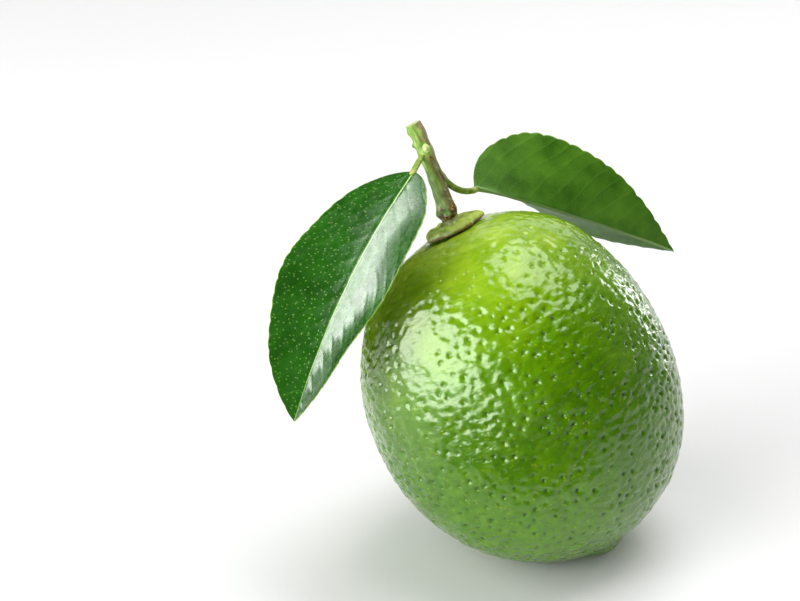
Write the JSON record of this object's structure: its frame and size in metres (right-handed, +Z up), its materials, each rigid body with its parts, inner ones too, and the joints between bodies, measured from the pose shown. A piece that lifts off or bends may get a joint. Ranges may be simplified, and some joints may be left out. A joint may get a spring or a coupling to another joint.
{
  "type": "lime fruit",
  "caption": "Whole fresh lime as picked, with its calyx, a short cut twig carrying a bud, and two folded leaves; rests on a small flat spot.",
  "frame": {"origin": "centre of the small flat spot that the fruit rests on", "axes": "+Z up, square to the resting spot; the stem end leans to -X and a little to +Y"},
  "size_m": [0.0702, 0.0593, 0.072],
  "materials": {
    "rind": "glossy pitted lime rind, wax-bright",
    "calyx": "matte green with a corky brown edge",
    "bark": "young green bark with grey-brown cork",
    "bud": "pale green bud scales",
    "petiole": "green, slightly waxy",
    "leaf": "dark glossy upper side, paler matte underside"
  },
  "bodies": {
    "root": {"fruit": "rind", "calyx": "calyx", "stem": "bark", "bud": "bud", "left_petiole": "petiole", "left_leaf": "leaf", "right_petiole": "petiole", "right_leaf": "leaf"}
  },
  "joints": []
}
